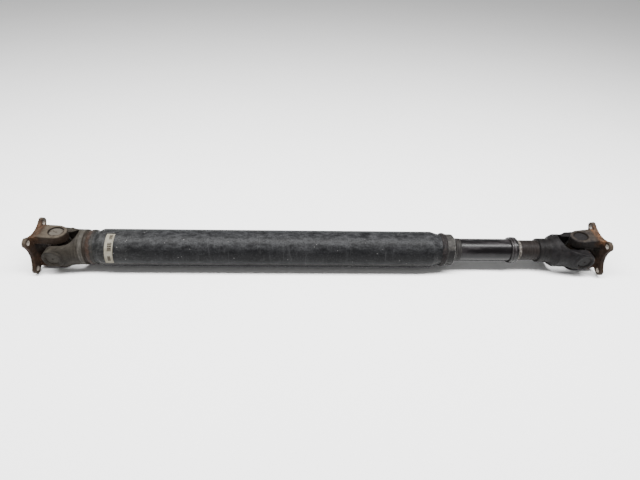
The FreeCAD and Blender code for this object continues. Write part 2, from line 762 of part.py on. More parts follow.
def ring_set(label, inner, outer, low, high):
    """A plain ring, or with inner 0 a disc, between two distances from the joint centre."""
    def pieces(roll):
        body = doc.addObject("Part::Cylinder", f"{label}_body_{abs(roll)}")
        body.setExpression("Radius", d(outer))
        body.setExpression("Height", d(f"( {high} ) - ( {low} )"))
        hole = doc.addObject("Part::Cylinder", f"{label}_hole_{abs(roll)}")
        hole.setExpression("Radius", d(inner))
        hole.setExpression("Height", d(f"( {high} ) - ( {low} )"))
        cut = doc.addObject("Part::Cut", f"{label}_ring_{abs(roll)}")
        cut.Base, cut.Tool = body, hole
        base = f"create(<<vector>>; 0; 0; {d(low)})"
        turn = f"create(<<rotation>>; 0; 0; {roll})"
        zero = "create(<<vector>>; 0; 0; 0)"
        rest = "create(<<rotation>>; 0; 0; 0)"
        cut.setExpression("Placement", f"create(<<placement>>; {zero}; {turn})"
                                       f" * create(<<placement>>; {base}; {rest})")
        yield cut
    return pieces


def snap_rings(label):
    """Open spring rings: a ring with a gap, and two small lobes beside the gap."""
    def pieces(roll):
        outer = doc.addObject("Part::Cylinder", f"{label}_outer_{abs(roll)}")
        outer.setExpression("Radius", d("ring_groove_r - 0.1"))
        outer.setExpression("Height", d("ring_thickness"))
        inner = doc.addObject("Part::Cylinder", f"{label}_inner_{abs(roll)}")
        inner.setExpression("Radius", d("ring_groove_r - 2.6"))
        inner.setExpression("Height", d("ring_thickness"))
        mouth = doc.addObject("Part::Box", f"{label}_mouth_{abs(roll)}")
        mouth.Length, mouth.Width = 8, 5
        mouth.setExpression("Height", d("ring_thickness"))
        mouth.Placement = FreeCAD.Placement(Vector(10, -2.5, 0), FreeCAD.Rotation())
        closed = doc.addObject("Part::Cut", f"{label}_closed_{abs(roll)}")
        closed.Base, closed.Tool = outer, inner
        cut = doc.addObject("Part::Cut", f"{label}_open_{abs(roll)}")
        cut.Base, cut.Tool = closed, mouth
        base = f"create(<<vector>>; 0; 0; {d('cup_face')})"
        turn = f"create(<<rotation>>; 0; 0; {roll})"
        zero = "create(<<vector>>; 0; 0; 0)"
        rest = "create(<<rotation>>; 30; 0; 0)"
        cut.setExpression("Placement", f"create(<<placement>>; {zero}; {turn})"
                                       f" * create(<<placement>>; {base}; {rest})")
        yield cut
    return pieces


def make_nipple(label, side, yaw, tip):
    """The cross's grease nipple, in the corner between its front and upper trunnions."""
    body = turned_along_z(label, [
        ("0", "14"),
        ("2.4", "14"),
        ("2.4", "21.7"),
        ("3.1", "21.7"),
        ("3.1", "23.4"),
        ("2.0", "23.4"),
        ("1.6", "24.6"),
        ("2.2", "25.6"),
        ("1.7", "26.8"),
        ("0", "27.1"),
    ])
    place(body, f"{side} * joint_x", yaw=yaw, pitch=tip, roll=45 if yaw == 0 else -45)
    return body


# ---------------------------------------------------------------- paper label
def make_label():
    """A strip of paper pasted round the front of the tube, a little crooked."""
    outer = doc.addObject("Part::Cylinder", "label_outside")
    outer.setExpression("Radius", d("tube_r + label_thickness"))
    outer.setExpression("Angle", d("label_wrap"))
    inner = doc.addObject("Part::Cylinder", "label_inside")
    inner.setExpression("Radius", d("tube_r"))
    turn = FreeCAD.Rotation(Vector(0, 0, 1), 180 + dims["label_start"])
    lying = FreeCAD.Rotation(Vector(0, 1, 0), 90) * turn
    for wall in (outer, inner):
        wall.Height = 60
        wall.Placement = FreeCAD.Placement(Vector(-30, 0, 0), lying)
    ring = doc.addObject("Part::Cut", "label_ring")
    ring.Base, ring.Tool = outer, inner
    patch = doc.addObject("Part::Box", "label_patch")
    patch.setExpression("Length", d("label_width"))
    patch.Width, patch.Height = 60, 110
    crooked = FreeCAD.Rotation(Vector(0, 1, 0), 5.5)
    corner = crooked.multVec(Vector(-dims["label_width"] / 2, -50, -55))
    patch.Placement = FreeCAD.Placement(corner, crooked)
    strip = doc.addObject("Part::Common", "paper_label")
    strip.Base, strip.Tool = ring, patch
    strip.Label = "paper_label"
    place(strip, "label_x")
    return strip


# ---------------------------------------------------------------- build every piece
make_tube()
make_left_weld()
make_right_weld()
make_sleeve()
make_core_plug()
make_seal_cap()
make_slip_seal()
make_tube_yoke()
make_slip_yoke()
make_label()

for name, side, yaw in (("left", "-1", 0), ("right", "1", 180)):
    tip = f"{name}_tip"
    # a quarter turn about Z swaps which of the yoke's two cups faces the front
    yoke_cups = ((f"{name}_cup_front", 90 - yaw), (f"{name}_cup_back", yaw - 90))
    flange_cups = ((f"{name}_cup_top", 0), (f"{name}_cup_bottom", 180))
    make_flange_yoke(f"{name}_flange_yoke", side, yaw, tip)
    make_cross(f"{name}_cross", side, yaw, tip)
    make_nipple(f"{name}_grease_nipple", side, yaw, tip)
    for fork, pitch, cups in (("yoke", "0", yoke_cups), ("flange", tip, flange_cups)):
        for cup, roll in cups:
            make_cup(cup, side, yaw, pitch, roll)
        rolls = [roll for cup, roll in cups]
        stem = f"{name}_{fork}"
        make_group(f"{stem}_needles", needle_set(f"{stem}_needle"), side, yaw, pitch, rolls)
        washers = ring_set(f"{stem}_washer", "2.5", "race_r - 0.3", "trunnion_end + 0.1",
                           "cup_face - cup_floor")
        make_group(f"{stem}_thrust_washers", washers, side, yaw, pitch, rolls)
        seals = ring_set(f"{stem}_seal", "trunnion_r + 0.06", "cup_r - 0.6",
                         "shoulder + 0.3", "cup_open")
        make_group(f"{stem}_seals", seals, side, yaw, pitch, rolls)
        make_group(f"{stem}_snap_rings", snap_rings(f"{stem}_snap"), side, yaw, pitch, rolls)

doc.recompute()

# ---------------------------------------------------------------- check and write
for item in doc.Objects:
    state = " ".join(item.State)
    if "Invalid" in state or "Error" in state:
        raise RuntimeError(f"{item.Name}: {state}")

used = set()
for item in doc.Objects:
    if item.TypeId in ("Part::Cut", "Part::Common"):
        used.update((item.Base.Name, item.Tool.Name))
    if item.TypeId == "Part::Compound":
        used.update(link.Name for link in item.Links)

kinds = ("PartDesign::Body", "Part::Compound", "Part::Common")
for item in doc.Objects:
    if item.TypeId in kinds and item.Name not in used:
        shape = item.Shape
        if shape.isNull() or not shape.isValid():
            raise RuntimeError(item.Label + " has no valid shape")
        shape.exportStep(f"parts/{item.Label}.step")
        box = shape.BoundBox
        print(f"{item.Label}: {len(shape.Solids)} solid(s), {shape.Volume:.0f} mm3, "
              f"x {box.XMin:.1f}..{box.XMax:.1f}, z {box.ZMin:.1f}..{box.ZMax:.1f}")
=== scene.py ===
import bpy
import json
import math
from mathutils import Matrix, Vector


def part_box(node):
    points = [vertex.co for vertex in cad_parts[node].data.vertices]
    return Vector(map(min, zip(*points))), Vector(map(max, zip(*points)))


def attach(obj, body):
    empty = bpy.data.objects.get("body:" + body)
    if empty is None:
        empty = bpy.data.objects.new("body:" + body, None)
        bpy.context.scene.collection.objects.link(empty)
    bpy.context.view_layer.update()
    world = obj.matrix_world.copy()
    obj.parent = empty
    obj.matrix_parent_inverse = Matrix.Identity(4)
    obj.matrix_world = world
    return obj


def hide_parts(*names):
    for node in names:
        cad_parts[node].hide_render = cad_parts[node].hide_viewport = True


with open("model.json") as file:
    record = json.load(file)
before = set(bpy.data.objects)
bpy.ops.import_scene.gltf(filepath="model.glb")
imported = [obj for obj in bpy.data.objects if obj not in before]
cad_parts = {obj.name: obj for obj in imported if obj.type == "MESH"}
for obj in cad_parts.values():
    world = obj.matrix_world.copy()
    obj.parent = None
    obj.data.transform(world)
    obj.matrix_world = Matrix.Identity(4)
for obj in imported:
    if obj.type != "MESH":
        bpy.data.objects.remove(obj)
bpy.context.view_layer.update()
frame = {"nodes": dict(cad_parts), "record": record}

# A propeller shaft with a universal joint at each end, lying on a pale floor.
# The CAD pieces keep their shapes. Forged pieces get softened, slightly rough surfaces, the two
# weld beads are rebuilt with ripples, and every piece gets a worn, dusty or rusty finish.

NODES = frame["nodes"]
MM = 0.001
TUBE_LOW, TUBE_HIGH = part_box("main_tube")
AXIS_Z = (TUBE_LOW.z + TUBE_HIGH.z) / 2
NODE_SLOT = {part["node"]: part["material_slot"] for part in frame["record"]["subparts"]}


def middle(node):
    """The centre of a node's box."""
    low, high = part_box(node)
    return (low + high) / 2


LEFT_JOINT, RIGHT_JOINT = middle("left_cross"), middle("right_cross")
LEFT_TIP, RIGHT_TIP = math.radians(4.65), math.radians(8.0)    # each flange's tip at rest
BOLT_CIRCLE_R = 47.625 * MM
BOLT_HOLE_R = 4.8 * MM
PLATE_INNER_FACE = -38.5 * MM      # of a flange, from its joint's centre
LABEL_SLANT = math.radians(5.5)    # the paper strip is pasted on a little crooked


# ------------------------------------------------------------------ material helpers
class Look:
    """One procedural material. Sizes are in metres on the piece, and masks run from 0 to 1.

    center, heading and tip give the frame in which positions on the piece are read: a joint's own
    frame has its flange towards -X and its upper ears towards +Z. Every colour is darkened by shade.
    """

    def __init__(self, name, metallic=0.0, specular=0.5, shade=1.0,
                 center=(0, 0, 0), heading=0.0, tip=0.0):
        self.material = bpy.data.materials.new(name)
        self.material.use_nodes = True
        self.tree = self.material.node_tree
        self.surface = self.tree.nodes["Principled BSDF"]
        self.surface.inputs["Metallic"].default_value = metallic
        self.surface.inputs["Specular IOR Level"].default_value = specular
        self.coords = self.tree.nodes.new("ShaderNodeTexCoord")
        self.frame = center, heading, tip
        self.shade = shade

    def feed(self, socket, value):
        """Links a socket, or sets a number or a darkened colour on it."""
        if isinstance(value, bpy.types.NodeSocket):
            self.tree.links.new(value, socket)
        elif isinstance(value, tuple) and len(socket.default_value) == 4:
            socket.default_value = (*(self.shade * c for c in value), 1.0)
        else:
            socket.default_value = value

    def mapped(self, stretch, offset):
        """The point on the piece, moved and scaled for a texture."""
        node = self.tree.nodes.new("ShaderNodeMapping")
        node.inputs["Scale"].default_value = stretch
        node.inputs["Location"].default_value = (offset, 0.37 * offset, 0.71 * offset)
        self.tree.links.new(self.coords.outputs["Object"], node.inputs["Vector"])
        return node.outputs["Vector"]

    def noise(self, size, detail=5.0, offset=0.0, stretch=(1, 1, 1), warp=0.0):
        """Cloudy values round 0.5; size is a blotch's, and offset picks another part of the pattern."""
        node = self.tree.nodes.new("ShaderNodeTexNoise")
        self.tree.links.new(self.mapped(stretch, offset), node.inputs["Vector"])
        node.inputs["Scale"].default_value = 1 / size
        node.inputs["Detail"].default_value = detail
        node.inputs["Roughness"].default_value = 0.6
        node.inputs["Distortion"].default_value = warp
        return node.outputs["Fac"]

    def pits(self, size, offset=0.0):
        """Distance to scattered points, small near each point."""
        node = self.tree.nodes.new("ShaderNodeTexVoronoi")
        self.tree.links.new(self.mapped((1, 1, 1), offset), node.inputs["Vector"])
        node.inputs["Scale"].default_value = 1 / size
        return node.outputs["Distance"]

    def ramp(self, value, low, high, bottom=0.0, top=1.0):
        """Goes smoothly from bottom to top while value goes from low to high."""
        node = self.tree.nodes.new("ShaderNodeMapRange")
        node.interpolation_type = "SMOOTHSTEP"
        self.feed(node.inputs["Value"], value)
        node.inputs["From Min"].default_value = low
        node.inputs["From Max"].default_value = high
        node.inputs["To Min"].default_value = bottom
        node.inputs["To Max"].default_value = top
        return node.outputs["Result"]

    def math(self, operation, a, b):
        node = self.tree.nodes.new("ShaderNodeMath")
        node.operation = operation
        self.feed(node.inputs[0], a)
        self.feed(node.inputs[1], b)
        return node.outputs["Value"]

    def times(self, a, b):
        return self.math("MULTIPLY", a, b)

    def plus(self, a, b):
        return self.math("ADD", a, b)

    def mix(self, mask, under, over):
        """The colour under, covered by the colour over where mask is 1."""
        node = self.tree.nodes.new("ShaderNodeMix")
        node.data_type = "RGBA"
        under_socket, over_socket, result = node.inputs[6], node.inputs[7], node.outputs[2]
        self.feed(node.inputs["Factor"], mask)
        self.feed(under_socket, under)
        self.feed(over_socket, over)
        return result

    def local(self):
        """The point in the material's own frame."""
        center, heading, tip = self.frame
        moved = self.tree.nodes.new("ShaderNodeVectorMath")
        moved.operation = "SUBTRACT"
        moved.inputs[1].default_value = center
        self.tree.links.new(self.coords.outputs["Object"], moved.inputs[0])
        turned = self.tree.nodes.new("ShaderNodeVectorRotate")
        turned.rotation_type = "EULER_XYZ"
        turned.invert = True
        turned.inputs["Rotation"].default_value = (0, tip, heading)
        self.tree.links.new(moved.outputs["Vector"], turned.inputs["Vector"])
        return turned.outputs["Vector"]

    def axis(self, which, size_only=False):
        """One coordinate of the point, with its sign left out if size_only."""
        node = self.tree.nodes.new("ShaderNodeSeparateXYZ")
        self.tree.links.new(self.local(), node.inputs["Vector"])
        return self.math("ABSOLUTE", node.outputs[which], 0.0) if size_only else node.outputs[which]

    def between(self, value, low, high, soft=0.0005):
        """Near 1 from low to high, and 0 outside."""
        return self.times(self.ramp(value, low - soft, low + soft),
                          self.ramp(value, high - soft, high + soft, 1.0, 0.0))

    def facing_up(self, low=0.15, high=0.95):
        """Near 1 on surfaces that face up, where dust settles."""
        node = self.tree.nodes.new("ShaderNodeSeparateXYZ")
        self.tree.links.new(self.coords.outputs["Normal"], node.inputs["Vector"])
        return self.ramp(node.outputs["Z"], low, high)

    def hollows(self, reach, low=0.45, high=0.95):
        """Near 1 in corners and between pieces, where dirt gathers."""
        node = self.tree.nodes.new("ShaderNodeAmbientOcclusion")
        node.samples = 6
        node.inputs["Distance"].default_value = reach
        return self.ramp(node.outputs["AO"], low, high, 1.0, 0.0)

    def soft_normal(self, radius):
        """The surface's direction with its edges rounded off."""
        node = self.tree.nodes.new("ShaderNodeBevel")
        node.samples = 4
        node.inputs["Radius"].default_value = radius
        return node.outputs["Normal"]

    def edges(self, radius):
        """Near 1 on sharp edges, where finishes wear through."""
        geometry = self.tree.nodes.new("ShaderNodeNewGeometry")
        node = self.tree.nodes.new("ShaderNodeVectorMath")
        node.operation = "DOT_PRODUCT"
        self.tree.links.new(self.soft_normal(radius), node.inputs[0])
        self.tree.links.new(geometry.outputs["Normal"], node.inputs[1])
        return self.ramp(node.outputs["Value"], 0.80, 0.99, 1.0, 0.0)

    def worn_edges(self, radius):
        """Sharp edges, rubbed here and there."""
        return self.times(self.edges(radius), self.ramp(self.noise(0.006, 4, 6.0), 0.42, 0.6))

    def bolt_holes(self):
        """The walls of a flange's four holes."""
        offset = BOLT_CIRCLE_R / math.sqrt(2)
        y, z = self.axis("Y", True), self.axis("Z", True)
        off_y = self.math("SUBTRACT", y, offset)
        off_z = self.math("SUBTRACT", z, offset)
        square = self.plus(self.times(off_y, off_y), self.times(off_z, off_z))
        near = self.ramp(square, (BOLT_HOLE_R + 0.2 * MM) ** 2, (BOLT_HOLE_R + 0.4 * MM) ** 2, 1.0, 0.0)
        by_plate = self.ramp(self.axis("X"), PLATE_INNER_FACE + 8.5 * MM,
                             PLATE_INNER_FACE + 10.5 * MM, 1.0, 0.0)
        return self.times(near, by_plate)

    def bump(self, height, depth, strength=1.0, under=None):
        """Unevenness up to depth high, on top of the normal under."""
        node = self.tree.nodes.new("ShaderNodeBump")
        node.inputs["Distance"].default_value = depth
        node.inputs["Strength"].default_value = strength
        self.feed(node.inputs["Height"], height)
        if under is not None:
            self.tree.links.new(under, node.inputs["Normal"])
        return node.outputs["Normal"]

    def finish(self, color, roughness, normal):
        self.feed(self.surface.inputs["Base Color"], color)
        self.feed(self.surface.inputs["Roughness"], roughness)
        self.feed(self.surface.inputs["Normal"], normal)
        return self.material


# ------------------------------------------------------------------ finishes
def tube_paint():
    """Satin black paint with a grey dust film, thin scuffs round the tube and a few pale specks."""
    look = Look("tube_paint", specular=0.09, shade=0.31)
    cloud = look.ramp(look.noise(0.030, 6, 3.0, (0.5, 1, 1)), 0.32, 0.70)
    color = look.mix(cloud, (0.0090, 0.0092, 0.0105), (0.0180, 0.0183, 0.0205))

    # the dust film, thicker on top and towards the left fork
    film = look.ramp(look.noise(0.009, 9, 9.0, (0.5, 1, 1)), 0.30, 0.74)
    on_top = look.ramp(look.facing_up(0.25, 1.0), 0, 1, 0.03, 0.62)
    color = look.mix(look.times(film, on_top), color, (0.145, 0.147, 0.153))
    toward_fork = look.ramp(look.axis("X"), -0.470, -0.330, 0.42, 0.0)
    toward_fork = look.times(toward_fork, look.ramp(film, 0, 1, 0.4, 1.0))
    color = look.mix(toward_fork, color, (0.090, 0.090, 0.082))

    # dark and pale grain, scuffs round the tube and scratches along it
    grain = look.noise(0.0024, 7, 21.0, (0.8, 1, 1))
    color = look.mix(look.ramp(grain, 0.48, 0.68, 0.0, 0.75), color, (0.0040, 0.0040, 0.0045))
    color = look.mix(look.ramp(grain, 0.50, 0.30, 0.0, 0.30), color, (0.115, 0.115, 0.120))
    patches = look.ramp(look.noise(0.06, 2, 13.0), 0.44, 0.60)
    rings = look.ramp(look.noise(0.0032, 3, 5.0, (1.0, 0.05, 0.05)), 0.56, 0.72, 0.0, 0.40)
    color = look.mix(look.times(rings, patches), color, (0.14, 0.14, 0.145))
    streaks = look.ramp(look.noise(0.0040, 3, 31.0, (0.05, 1, 1)), 0.68, 0.76, 0.0, 0.5)
    color = look.mix(look.times(streaks, patches), color, (0.20, 0.20, 0.20))

    # pale specks, and stains where the dust is gone
    specks = look.ramp(look.pits(0.014, 2.0), 0.045, 0.075, 0.8, 0.0)
    color = look.mix(specks, color, (0.42, 0.41, 0.40))
    stains = look.ramp(look.noise(0.011, 7, 71.0, (0.6, 1, 1)), 0.56, 0.70, 0.0, 0.60)
    color = look.mix(stains, color, (0.0050, 0.0050, 0.0055))

    roughness = look.plus(look.ramp(film, 0, 1, 0.40, 0.56), look.ramp(grain, 0.4, 0.7, 0.0, 0.10))
    skin = look.bump(grain, 0.00016, 0.6)
    dents = look.bump(look.noise(0.035, 2, 4.0, (0.7, 1, 1)), 0.0008, 0.2, skin)
    return look.finish(color, roughness, dents)


def left_yoke_finish():
    """Bare forging under brown-grey dirt; a paler turned band round the hub, rust in the hollows."""
    look = Look("left_yoke_finish", specular=0.07, center=LEFT_JOINT, shade=0.22)
    along = look.axis("X")
    blotch = look.ramp(look.noise(0.016, 7, 2.0, warp=0.3), 0.34, 0.68)
    color = look.mix(blotch, (0.038, 0.031, 0.024), (0.082, 0.070, 0.055))
    grain = look.noise(0.0020, 6, 8.0)
    color = look.mix(look.ramp(grain, 0.48, 0.74, 0.0, 0.5), color, (0.018, 0.015, 0.012))

    # tool marks round the hub, its pale turned band and the dark seam beside the weld
    cuts = look.noise(0.0014, 3, 4.0, (1.0, 0.05, 0.05))
    hub = look.ramp(along, 0.030, 0.036)
    color = look.mix(look.times(look.ramp(cuts, 0.48, 0.70, 0.0, 0.5), hub), color, (0.16, 0.145, 0.12))
    band = look.between(along, 0.0505, 0.0580, 0.0010)
    band_color = look.mix(look.ramp(cuts, 0.35, 0.65), (0.11, 0.102, 0.090), (0.29, 0.272, 0.243))
    worn = look.ramp(look.noise(0.012, 6, 33.0), 0.35, 0.62, 0.25, 0.85)
    color = look.mix(look.times(band, worn), color, band_color)
    seam = look.ramp(along, 0.0580, 0.0592)
    color = look.mix(look.times(seam, 0.85), color, (0.045, 0.032, 0.024))

    # rust in the hollows, dust on top and rubbed edges
    bloom = look.plus(look.noise(0.018, 8, 15.0, warp=0.4), look.times(look.hollows(0.010), 0.14))
    rusty = look.ramp(bloom, 0.64, 0.80)
    color = look.mix(look.times(rusty, 0.75), color, (0.070, 0.035, 0.018))
    film = look.ramp(look.noise(0.010, 8, 40.0), 0.33, 0.72)
    settled = look.times(film, look.ramp(look.facing_up(0.0, 1.0), 0, 1, 0.10, 0.50))
    color = look.mix(settled, color, (0.19, 0.172, 0.142))
    color = look.mix(look.times(look.worn_edges(0.0012), 0.4), color, (0.20, 0.18, 0.15))

    roughness = look.plus(look.ramp(grain, 0.3, 0.7, 0.55, 0.74), look.times(rusty, 0.15))
    scale = look.bump(grain, 0.0003, 0.6, look.soft_normal(0.0009))
    turned = look.bump(look.times(cuts, hub), 0.00015, 0.5, scale)
    return look.finish(color, roughness, turned)


def rusty_flange(name, center, heading, tip, base, arms, ears, bloom_share):
    """Dark brown rust, orange bloom along the plate's top rim, dusty ears, and bolt-hole walls painted
    bright to stand in for the lit floor seen through the holes.

    base, arms and ears are the colours of the plate, of the arms away from it and of the ears' ends.
    """
    look = Look(name, specular=0.08, center=center, heading=heading, tip=tip, shade=0.40)
    along, side, up = look.axis("X"), look.axis("Y", True), look.axis("Z", True)
    above = look.ramp(look.axis("Z"), 0.0, 0.02)
    blotch = look.ramp(look.noise(0.012, 8, 5.0, warp=0.5), 0.35, 0.66)
    color = look.mix(blotch, tuple(0.5 * c for c in base), base)
    grain = look.noise(0.0023, 7, 18.0)
    color = look.mix(look.ramp(grain, 0.42, 0.72, 0.0, 0.6), color, (0.014, 0.009, 0.006))

    # the arms away from the plate keep more of their old dark skin
    skin = look.plus(look.noise(0.010, 6, 63.0), look.ramp(along, -0.034, -0.008, -0.16, 0.16))
    color = look.mix(look.ramp(skin, 0.44, 0.58, 0.0, 0.9), color, arms)

    # the ears' flat outer faces, greyer and dusty
    ear = look.times(look.ramp(up, 0.0375, 0.0400), look.ramp(along, -0.032, -0.018))
    film = look.ramp(look.noise(0.008, 8, 44.0), 0.30, 0.68)
    color = look.mix(look.times(ear, look.ramp(film, 0, 1, 0.55, 0.95)), color, ears)

    # orange rust where the arms run down to the plate and along the rim between the lugs
    rim = look.times(look.ramp(along, -0.034, -0.025, 1.0, 0.0), look.ramp(up, 0.026, 0.033))
    patch = look.ramp(look.noise(0.010, 6, 27.0), 0.38, 0.58)
    orange = look.times(rim, look.ramp(above, 0, 1, 0.20, 1.0))
    orange = look.times(orange, look.ramp(patch, 0, 1, 0.25, 1.0))
    orange = look.times(orange, look.ramp(side, 0.022, 0.031, 1.0, 0.12))
    flakes = look.ramp(look.noise(0.004, 6, 52.0), 0.35, 0.65)
    orange_color = look.mix(flakes, (0.10, 0.042, 0.018), (0.33, 0.165, 0.085))
    color = look.mix(look.times(orange, bloom_share), color, orange_color)

    lug = look.times(look.ramp(side, 0.028, 0.034), look.ramp(up, 0.028, 0.034))
    color = look.mix(look.times(lug, look.ramp(film, 0, 1, 0.25, 0.75)), color, (0.105, 0.090, 0.070))
    settled = look.times(film, look.ramp(look.facing_up(0.2, 1.0), 0, 1, 0.04, 0.30))
    color = look.mix(settled, color, (0.17, 0.135, 0.10))
    color = look.mix(look.times(look.worn_edges(0.0012), 0.35), color, (0.22, 0.17, 0.125))

    # the walls of the bolt holes, painted bright: painted light standing in for the lit floor seen
    # through the holes
    painted_hole_light = look.bolt_holes()
    color = look.mix(look.times(painted_hole_light, 0.8), color, (0.70, 0.63, 0.56))

    roughness = look.ramp(grain, 0.3, 0.7, 0.62, 0.88)
    crust = look.bump(grain, 0.00045, 0.7, look.soft_normal(0.0009))
    pitting = look.bump(look.ramp(look.pits(0.0038, 3.0), 0.0, 0.4), 0.0003, 0.6, crust)
    return look.finish(color, roughness, pitting)


def weld_metal():
    """The beads: a line of rust beside the left forging, dark paint over the rest, dust on top."""
    look = Look("weld_scale", specular=0.10, center=(0, 0, AXIS_Z), shade=0.30)
    along = look.axis("X")
    patch = look.ramp(look.noise(0.007, 7, 3.0, warp=0.3), 0.40, 0.62)
    grain = look.noise(0.0018, 6, 12.0)
    color = look.mix(patch, (0.011, 0.0095, 0.0105), (0.030, 0.024, 0.024))

    # the left bead: rusty up to its crown, painted beyond it
    ragged = look.plus(along, look.ramp(look.noise(0.008, 5), 0.3, 0.7, -0.0015, 0.0015))
    rust_color = look.mix(look.ramp(grain, 0.4, 0.65), (0.050, 0.028, 0.019), (0.110, 0.068, 0.046))
    beside_fork = look.ramp(ragged, -0.4780, -0.4755, 1.0, 0.0)
    color = look.mix(look.times(beside_fork, 0.85), color, rust_color)
    painted = look.ramp(ragged, -0.4768, -0.4745)
    painted = look.times(painted, look.ramp(along, -0.1, 0.0, 1.0, 0.0))
    color = look.mix(look.times(painted, 0.7), color, (0.050, 0.049, 0.043))

    # rust spots and dust on both beads
    spots = look.ramp(look.noise(0.005, 6, 37.0), 0.60, 0.68, 0.0, 0.5)
    color = look.mix(spots, color, (0.085, 0.045, 0.030))
    film = look.ramp(look.noise(0.006, 7, 23.0), 0.42, 0.75, 0.0, 0.35)
    color = look.mix(look.times(film, look.facing_up(-0.3, 1.0)), color, (0.20, 0.185, 0.175))
    return look.finish(color, look.ramp(grain, 0.3, 0.7, 0.42, 0.7), look.bump(grain, 0.0003, 0.6))


def end_piece_paint():
    """Half-gloss black sleeve; its shoulder by the weld is dusty, with a rough black patch in front."""
    look = Look("end_piece_paint", specular=0.17, center=(0, 0, AXIS_Z), shade=0.33)
    along = look.axis("X")
    dusty = look.ramp(along, 0.2715, 0.2730, 1.0, 0.0)          # the shoulder by the weld
    band = look.between(along, 0.2735, 0.2868, 0.0006)          # a matt turned band beside it
    color = look.mix(look.ramp(look.noise(0.03, 5, 2.0, (0.4, 1, 1)), 0.4, 0.7),
                     (0.0065, 0.0052, 0.0060), (0.014, 0.0115, 0.013))
    film = look.ramp(look.noise(0.010, 9, 6.0, (0.4, 1, 1)), 0.42, 0.72)
    color = look.mix(look.times(film, look.facing_up(-0.6, 1.0)), color, (0.050, 0.044, 0.047))

    # clay-coloured dust on the shoulder, darker in front, with a rough black patch
    clay = look.mix(look.ramp(look.noise(0.006, 7, 9.0), 0.35, 0.65),
                    (0.030, 0.028, 0.026), (0.095, 0.089, 0.081))
    front = look.ramp(look.axis("Z"), 0.017, 0.023, 1.0, 0.0)
    ragged = look.plus(look.noise(0.005, 8, 41.0, warp=0.3), look.ramp(front, 0, 1, -0.22, 0.20))
    flaked = look.times(look.ramp(ragged, 0.50, 0.58), look.between(along, 0.2575, 0.2700, 0.0012))
    low_side = look.times(front, look.ramp(look.noise(0.008, 6, 58.0), 0.35, 0.6, 0.4, 0.85))
    clay = look.mix(low_side, clay, (0.022, 0.020, 0.020))
    clay = look.mix(flaked, clay, (0.006, 0.005, 0.005))
    color = look.mix(look.times(dusty, 0.92), color, clay)

    # the turned band, drips along the sleeve and the shoulder's rubbed rim
    stripes = look.ramp(look.noise(0.0016, 2, 3.0, (1, 0.04, 0.04)), 0.48, 0.62)
    matt = look.mix(stripes, (0.016, 0.0135, 0.013), (0.070, 0.062, 0.056))
    color = look.mix(look.times(band, 0.85), color, matt)
    drips = look.ramp(look.noise(0.0032, 4, 17.0, (0.05, 1, 1)), 0.70, 0.77, 0.0, 0.4)
    color = look.mix(drips, color, (0.12, 0.11, 0.11))
    rim = look.between(along, 0.2690, 0.2705, 0.0006)
    rim = look.times(rim, look.ramp(look.noise(0.004, 5, 77.0), 0.40, 0.55, 0.1, 0.7))
    color = look.mix(rim, color, (0.26, 0.25, 0.235))

    rough = look.plus(look.ramp(film, 0, 1, 0.30, 0.38), look.times(look.plus(dusty, band), 0.34))
    skin = look.bump(look.noise(0.0014, 5, 4.0), 0.00008, 0.2, look.soft_normal(0.0006))
    crust = look.bump(look.times(flaked, look.noise(0.0015, 5)), 0.0008, 0.9, skin)
    return look.finish(color, rough, crust)


def cap_paint():
    """Half-gloss black pressed steel with a painted highlight on the upper side of its two rings, and
    dust in its groove.
    """
    look = Look("cap_paint", specular=0.17, center=(0, 0, AXIS_Z), shade=0.36)
    along = look.axis("X")
    film = look.ramp(look.noise(0.006, 8, 6.0), 0.42, 0.72)
    dust = look.times(film, look.facing_up(-0.6, 1.0))
    color = look.mix(dust, (0.0060, 0.0055, 0.0060), (0.045, 0.040, 0.042))
    color = look.mix(look.times(look.hollows(0.004), 0.45), color, (0.060, 0.048, 0.042))
    # painted highlight: paler streaks on the upward-facing side of the two rings, broken up by noise
    patchy = look.ramp(look.noise(0.006, 5, 25.0, (0.6, 1, 1)), 0.40, 0.60, 0.35, 1.0)
    rim_highlight = look.plus(look.between(along, 0.3950, 0.3975, 0.0005),
                     look.between(along, 0.3998, 0.4030, 0.0006))
    rim_highlight = look.times(rim_highlight, look.facing_up(-0.5, 0.7))
    color = look.mix(look.times(look.times(rim_highlight, patchy), 0.5), color, (0.14, 0.125, 0.128))
    rough = look.ramp(film, 0, 1, 0.30, 0.46)
    fine = look.bump(look.noise(0.0012, 5), 0.00015, 0.35, look.soft_normal(0.0005))
    return look.finish(color, rough, fine)


